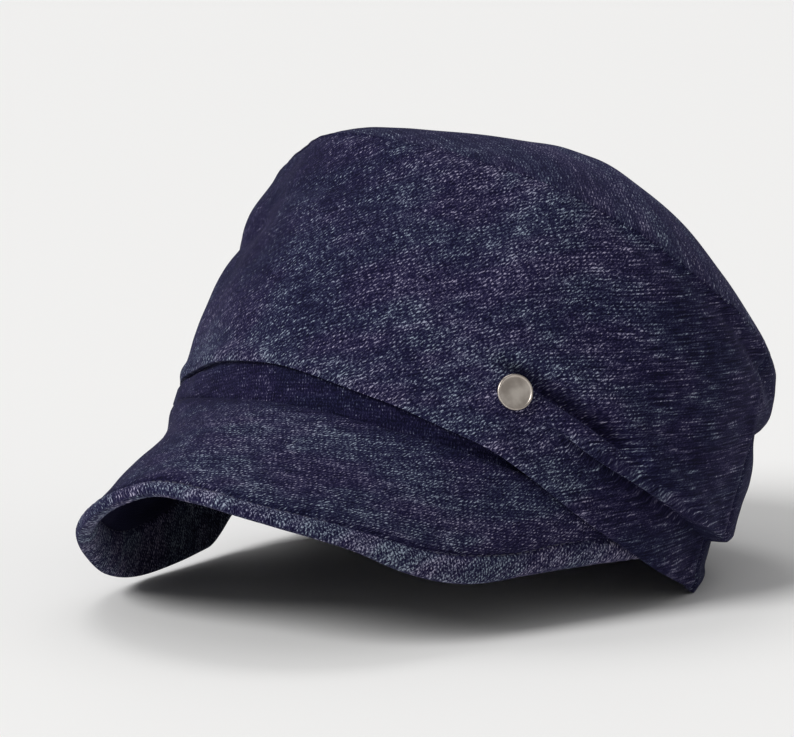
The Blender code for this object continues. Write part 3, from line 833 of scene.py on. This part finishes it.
# distance from the axis, height, in millimetres
section = (
    (0.0, -high), (rim - 0.35, -high), (rim, -0.25), (rim, 0.25), (rim - 0.30, high),
    (rim - 0.62, high), (rim - 0.95, 0.36), (rim - 1.50, 0.30), (rim - 3.0, 0.26), (0.0, 0.18),
)
disc_shape = bmesh.new()
corners = [disc_shape.verts.new((x * MM, 0.0, z * MM)) for x, z in section]
lines = [disc_shape.edges.new(pair) for pair in zip(corners, corners[1:])]
bmesh.ops.spin(
    disc_shape, geom=corners + lines, cent=(0, 0, 0), axis=(0, 0, 1), angle=math.tau,
    steps=96, use_merge=True, use_duplicate=False,
)
bmesh.ops.remove_doubles(disc_shape, verts=disc_shape.verts, dist=0.001 * MM)
bmesh.ops.recalc_face_normals(disc_shape, faces=disc_shape.faces)
crisp = [e for e in disc_shape.edges if len(e.link_faces) == 2 and e.calc_face_angle() > math.radians(20)]
bmesh.ops.bevel(
    disc_shape, geom=crisp, offset=0.10 * MM, offset_type="OFFSET", affect="EDGES",
    segments=2, profile=0.5, material=-1,
)
disc_turn = DISC_OUT.to_track_quat("Z", "Y").to_matrix().to_4x4()
bmesh.ops.transform(disc_shape, matrix=Matrix.Translation(DISC_MIDDLE) @ disc_turn, verts=disc_shape.verts)
for face in disc_shape.faces:
    face.smooth = True
disc = object_from(disc_shape, "metal_disc")
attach(disc, "root")
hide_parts("emblem")
print("disc middle, mm:", [round(v / MM, 1) for v in DISC_MIDDLE], "faces:", len(disc.data.polygons))

# %% [markdown]
# ## Denim
#
# Denim is woven from dark blue warp threads over pale weft threads. The dark ones cover
# most of the face. The pale ones peep out as short slanted flecks, and thicker threads
# show as long fine rows. Dye never takes evenly, so there are broad patches that lean to
# violet or to teal. Each of these is a noise, stretched to its size along the threads.
# Their sum goes through one colour ramp, from the deepest blue to the palest fleck. A sum
# gives flecks of every brightness, where a sharp limit on one noise would give equal dots.
# It is all built once, as a node group, because each piece needs it with its own weave.

# %% Helpers for materials
def new_look(name):
    """A new material with its node tree and its shader."""
    material = bpy.data.materials.new(name)
    material.use_nodes = True
    return material, material.node_tree, material.node_tree.nodes["Principled BSDF"]


def node_in(tree, kind, links=(), **settings):
    """Adds a node, sets it up and fills its inputs from values or from other sockets."""
    node = tree.nodes.new(kind)
    for key, value in settings.items():
        setattr(node, key, value)
    for key, value in dict(links).items():
        if isinstance(value, bpy.types.NodeSocket):
            tree.links.new(value, node.inputs[key])
        else:
            node.inputs[key].default_value = value
    return node


def maths(tree, operation, a, b=0.0):
    return node_in(tree, "ShaderNodeMath", {0: a, 1: b}, operation=operation).outputs[0]


def between(tree, value, low, high, to_low=0.0, to_high=1.0):
    """to_low below low, to_high above high, and soft in between."""
    links = {"Value": value, "From Min": low, "From Max": high, "To Min": to_low, "To Max": to_high}
    return node_in(tree, "ShaderNodeMapRange", links, interpolation_type="SMOOTHSTEP").outputs["Result"]


def blend(tree, share, a, b, mode="MIX"):
    node = node_in(tree, "ShaderNodeMix", data_type="RGBA", blend_type=mode)
    for key, value in ((0, share), (6, a), (7, b)):
        if isinstance(value, bpy.types.NodeSocket):
            tree.links.new(value, node.inputs[key])
        else:
            node.inputs[key].default_value = value
    return node.outputs[2]


def stretched_noise(tree, cloth, length, width, detail=2.0, roughness=0.55):
    """Noise whose lumps are this long and wide, in millimetres of cloth."""
    scale = (1000.0 / length, 1000.0 / width, 1.0)
    scaled = node_in(tree, "ShaderNodeVectorMath", {0: cloth, 1: scale}, operation="MULTIPLY").outputs[0]
    links = {"Vector": scaled, "Scale": 1.0, "Detail": detail, "Roughness": roughness}
    return node_in(tree, "ShaderNodeTexNoise", links, noise_dimensions="2D").outputs["Fac"]


print("node helpers ready")

# %% The weave as a node group
# place on the ramp, linear colour
THREAD_COLOURS = (
    (0.00, (0.0015, 0.0015, 0.0105, 1.0)),
    (0.30, (0.0052, 0.0044, 0.0245, 1.0)),
    (0.52, (0.0138, 0.0126, 0.0410, 1.0)),
    (0.68, (0.0350, 0.0355, 0.0700, 1.0)),
    (0.84, (0.1050, 0.1100, 0.1650, 1.0)),
    (1.00, (0.3000, 0.3100, 0.3900, 1.0)),
)

weave = bpy.data.node_groups.new("denim_weave", "ShaderNodeTree")
weave.interface.new_socket("Cloth", in_out="INPUT", socket_type="NodeSocketVector")
for socket in ("Weft Turn", "Twill Turn", "Flecks", "Rows", "Wear And Shade"):
    weave.interface.new_socket(socket, in_out="INPUT", socket_type="NodeSocketFloat")
weave.interface.new_socket("Color", in_out="OUTPUT", socket_type="NodeSocketColor")
for socket in ("Roughness", "Height"):
    weave.interface.new_socket(socket, in_out="OUTPUT", socket_type="NodeSocketFloat")
given = weave.nodes.new("NodeGroupInput").outputs
result = weave.nodes.new("NodeGroupOutput")


def rotated(vector, angle):
    links = {"Vector": vector, "Angle": angle}
    return node_in(weave, "ShaderNodeVectorRotate", links, rotation_type="Z_AXIS").outputs[0]


def swing(noise, amount):
    """How far a noise moves the tone up or down."""
    return maths(weave, "MULTIPLY", maths(weave, "SUBTRACT", noise, 0.5), amount)


weft_way = rotated(given["Cloth"], given["Weft Turn"])
twill_way = rotated(given["Cloth"], given["Twill Turn"])
flecks = stretched_noise(weave, twill_way, 1.3, 0.48, 1.0)
threads = stretched_noise(weave, twill_way, 0.55, 0.36, 0.0)
rows = stretched_noise(weave, weft_way, 13.0, 0.62, 2.0)
clusters = stretched_noise(weave, weft_way, 5.5, 3.2, 2.0)
cloud = stretched_noise(weave, given["Cloth"], 30.0, 22.0, 2.0)
hue = stretched_noise(weave, weft_way, 34.0, 17.0, 2.0)


def ribs(cloth, pitch):
    """Evenly spaced ribs that wander a little, 0 in the valleys and 1 on top."""
    wander = maths(weave, "MULTIPLY", stretched_noise(weave, cloth, 5.0, 3.0), 9.0)
    across = node_in(weave, "ShaderNodeSeparateXYZ", {0: cloth}).outputs["Y"]
    phase = maths(weave, "ADD", maths(weave, "MULTIPLY", across, math.tau / pitch), wander)
    wave = maths(weave, "SINE", phase)
    return maths(weave, "ADD", maths(weave, "MULTIPLY", wave, 0.5), 0.5)


points = maths(weave, "MULTIPLY", ribs(twill_way, 1.10 * MM), ribs(weft_way, 1.25 * MM))
thread_tone = maths(weave, "ADD", swing(flecks, 1.25), swing(threads, 0.55))
point_tone = maths(weave, "MULTIPLY", maths(weave, "SUBTRACT", points, 0.25), 0.38)
thread_tone = maths(weave, "ADD", thread_tone, point_tone)
fleck_tone = maths(weave, "MULTIPLY", thread_tone, given["Flecks"])
row_tone = maths(weave, "MULTIPLY", swing(rows, 1.5), given["Rows"])
weave_tone = maths(weave, "ADD", fleck_tone, row_tone)
# Above 0 the tone is pale wear; below 0 it is darkened, mostly as painted shade.
wear_and_shade_tone = maths(weave, "MULTIPLY", given["Wear And Shade"], 0.16)
tone = maths(weave, "ADD", maths(weave, "ADD", weave_tone, 0.485), wear_and_shade_tone)
tone = maths(weave, "ADD", tone, maths(weave, "ADD", swing(clusters, 0.62), swing(cloud, 0.30)))
ramp = weave.nodes.new("ShaderNodeValToRGB")
stops = ramp.color_ramp.elements
while len(stops) < len(THREAD_COLOURS):
    stops.new(0.5)
for stop, (position, colour) in zip(stops, THREAD_COLOURS):
    stop.position = position
    stop.color = colour
weave.links.new(tone, ramp.inputs[0])
tint = blend(weave, between(weave, hue, 0.36, 0.64), (0.90, 1.03, 1.00, 1.0), (1.07, 0.96, 1.05, 1.0))
coloured = blend(weave, 1.0, ramp.outputs[0], tint, "MULTIPLY")
rough = between(weave, tone, 0.5, 1.0, 0.92, 0.72)
for key, value in (("Color", coloured), ("Roughness", rough), ("Height", weave_tone)):
    weave.links.new(value, result.inputs[key])
print("weave nodes:", len(weave.nodes))

# %% [markdown]
# Each piece has its own material, which places the group with the directions of its own
# weave. The shader's sheen is the faint violet glow of lint at the cloth's edges. It is
# the same all over, so it is set on the shader's own sockets.

# %% Denim for each piece
RELIEF_DEPTH = 0.30 * MM


def denim_look(name, weft_turn, twill_turn, flecks, rows, row_rise=0.0):
    """Denim with its own weave; row_rise is how much stronger its rows get round the wearer's left."""
    material, tree, shader = new_look(name)
    cloth = node_in(tree, "ShaderNodeUVMap", uv_map="cloth").outputs[0]
    # The attribute brings pale wear and painted shade from each sheet.
    wear_and_shade = node_in(tree, "ShaderNodeAttribute", attribute_name="wear_and_shade").outputs["Fac"]
    round_side = node_in(tree, "ShaderNodeSeparateXYZ", {0: cloth}).outputs["X"]
    group = node_in(tree, "ShaderNodeGroup", node_tree=weave)
    group.inputs["Weft Turn"].default_value = math.radians(weft_turn)
    group.inputs["Twill Turn"].default_value = math.radians(twill_turn)
    links = {
        "Cloth": cloth,
        "Wear And Shade": wear_and_shade,
        "Flecks": between(tree, round_side, 90.0 * MM, 150.0 * MM, flecks, flecks - 0.6 * row_rise),
        "Rows": between(tree, round_side, 70.0 * MM, 135.0 * MM, rows, rows + row_rise),
    }
    for key, value in links.items():
        tree.links.new(value, group.inputs[key])
    raised = {"Height": group.outputs["Height"], "Strength": 0.5, "Distance": RELIEF_DEPTH}
    relief = node_in(tree, "ShaderNodeBump", raised)
    tree.links.new(group.outputs["Color"], shader.inputs["Base Color"])
    tree.links.new(group.outputs["Roughness"], shader.inputs["Roughness"])
    tree.links.new(relief.outputs[0], shader.inputs["Normal"])
    shader.inputs["Specular IOR Level"].default_value = 0.12
    shader.inputs["Sheen Weight"].default_value = 0.05
    shader.inputs["Sheen Roughness"].default_value = 0.45
    shader.inputs["Sheen Tint"].default_value = (0.35, 0.35, 1.0, 1.0)
    return material


looks = {
    "crown_front_denim": (front_panel, -27.0, -57.0, 1.0, 0.25, 0.75),
    "crown_back_denim": (back_panel, -27.0, -57.0, 1.0, 0.25, 0.40),
    "crown_tip_denim": (tip, -20.0, -50.0, 0.85, 0.40),
    "band_denim": (band, -8.0, -104.0, 0.90, 0.15),
    "peak_denim": (peak, -20.0, -68.0, 1.0, 0.20),
}
for name, (piece, *weave_values) in looks.items():
    piece.data.materials.clear()
    piece.data.materials.append(denim_look(name, *weave_values))
print("denim materials:", sorted(looks))

# %% [markdown]
# ## Thread and metal
#
# The thread is matt and a little lighter than the denim. The disc is satin nickel: fine
# turning marks round its middle, and a few soft smudges that make it duller in places.

# %% Thread
DARK_THREAD = (0.020, 0.020, 0.042, 1.0)
PALE_THREAD = (0.075, 0.075, 0.115, 1.0)
thread, tree, shader = new_look("topstitch_thread")
spot = node_in(tree, "ShaderNodeTexCoord").outputs["Object"]
lint = node_in(tree, "ShaderNodeTexNoise", {"Vector": spot, "Scale": 2200.0, "Detail": 1.0}).outputs["Fac"]
thread_colour = blend(tree, between(tree, lint, 0.35, 0.65), DARK_THREAD, PALE_THREAD)
tree.links.new(thread_colour, shader.inputs["Base Color"])
shader.inputs["Roughness"].default_value = 0.85
peak_stitches.data.materials.append(thread)
print("thread on:", peak_stitches.name)

# %% Satin metal
DULL_METAL = (0.40, 0.350, 0.31, 1.0)
BRIGHT_METAL = (0.66, 0.600, 0.54, 1.0)


def metal_look(name, middle):
    """Satin metal with turning marks round this middle."""
    material, tree, shader = new_look(name)
    spot = node_in(tree, "ShaderNodeTexCoord").outputs["Object"]
    turn_back = DISC_OUT.to_track_quat("Z", "Y").inverted().to_euler()
    to_middle = tuple(-v for v in middle)
    local = node_in(tree, "ShaderNodeVectorMath", {0: spot, 1: to_middle}, operation="ADD").outputs[0]
    links = {"Vector": local, "Rotation": turn_back}
    local = node_in(tree, "ShaderNodeVectorRotate", links, rotation_type="EULER_XYZ").outputs[0]
    flat = node_in(tree, "ShaderNodeVectorMath", {0: local, 1: (1.0, 1.0, 0.0)}, operation="MULTIPLY").outputs[0]
    far = node_in(tree, "ShaderNodeVectorMath", {0: flat}, operation="LENGTH").outputs["Value"]
    rings = node_in(tree, "ShaderNodeCombineXYZ", {0: maths(tree, "MULTIPLY", far, 9000.0)}).outputs[0]
    marks = node_in(tree, "ShaderNodeTexNoise", {"Vector": rings, "Scale": 1.0, "Detail": 2.0}).outputs["Fac"]
    smudge = node_in(tree, "ShaderNodeTexNoise", {"Vector": spot, "Scale": 170.0, "Detail": 3.0}).outputs["Fac"]
    colour = blend(tree, between(tree, smudge, 0.3, 0.7), DULL_METAL, BRIGHT_METAL)
    tree.links.new(colour, shader.inputs["Base Color"])
    rough = maths(tree, "ADD", maths(tree, "MULTIPLY", smudge, 0.22), maths(tree, "MULTIPLY", marks, 0.14))
    tree.links.new(maths(tree, "ADD", rough, 0.16), shader.inputs["Roughness"])
    relief = node_in(tree, "ShaderNodeBump", {"Height": marks, "Strength": 0.25, "Distance": 0.02 * MM})
    tree.links.new(relief.outputs[0], shader.inputs["Normal"])
    shader.inputs["Metallic"].default_value = 1.0
    return material


satin = metal_look("satin_nickel", DISC_MIDDLE)
disc.data.materials.append(satin)
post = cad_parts["emblem_post"]
for place in post.material_slots:
    place.material = satin
if not post.material_slots:
    post.data.materials.append(satin)
print("metal on:", disc.name, "and", post.name)

# %% [markdown]
# ## Floor, light and camera
#
# The floor is plain and pale, and so large that its edge is never in view. The lamps are
# suns, because a sun lights a large floor evenly. Their wide angles make them as soft as
# studio lamps: the key comes from the front left and above, and a weaker one from behind
# throws the shade forwards under the cap. The bright surroundings fill it in.

# %% Floor, light and camera
floor_shape = bmesh.new()
bmesh.ops.create_grid(floor_shape, x_segments=1, y_segments=1, size=40.0)
floor = object_from(floor_shape, "floor")
floor_look, _, floor_shader = new_look("pale_floor")
floor_shader.inputs["Base Color"].default_value = (0.91, 0.905, 0.895, 1.0)
floor_shader.inputs["Roughness"].default_value = 0.7
floor.data.materials.append(floor_look)

world = bpy.data.worlds.new("studio")
bpy.context.scene.world = world
world.use_nodes = True
world.node_tree.nodes["Background"].inputs["Color"].default_value = (1.0, 1.0, 1.0, 1.0)
world.node_tree.nodes["Background"].inputs["Strength"].default_value = 0.42
bpy.context.scene.view_settings.view_transform = "Standard"

AZIMUTH = math.radians(40.0)
ELEVATION = math.radians(8.0)
DISTANCE = 1.1
AIM = Vector((-11.405 * MM, -0.16 * MM, 75.023 * MM))
right = Vector((math.cos(AZIMUTH), math.sin(AZIMUTH), 0.0))
back = Vector((
    math.sin(AZIMUTH) * math.cos(ELEVATION),
    -math.cos(AZIMUTH) * math.cos(ELEVATION),
    math.sin(ELEVATION),
))


def soft_sun(name, towards, strength, wide):
    """A sun that shines from this direction; a wide angle makes its shadows soft."""
    light = bpy.data.lights.new(name, "SUN")
    light.energy = strength
    light.angle = math.radians(wide)
    thing = bpy.data.objects.new(name, light)
    bpy.context.scene.collection.objects.link(thing)
    thing.rotation_euler = towards.to_track_quat("Z", "Y").to_euler()
    return thing


soft_sun("key", right * -0.60 + back * 0.42 + Vector((0.0, 0.0, 0.52)), 2.3, 26.0)
soft_sun("rear", right * -0.20 + back * -0.45 + Vector((0.0, 0.0, 1.0)), 0.45, 24.0)

lens = bpy.data.cameras.new("camera")
lens.lens = 139.65
lens.sensor_width = 36.0
lens.clip_end = 80.0
camera = bpy.data.objects.new("camera", lens)
bpy.context.scene.collection.objects.link(camera)
axes = Matrix((right, back.cross(right), back)).transposed().to_4x4()
axes.translation = AIM + back * DISTANCE
camera.matrix_world = axes
bpy.context.scene.camera = camera
print("camera at", [round(v, 3) for v in camera.matrix_world.translation])
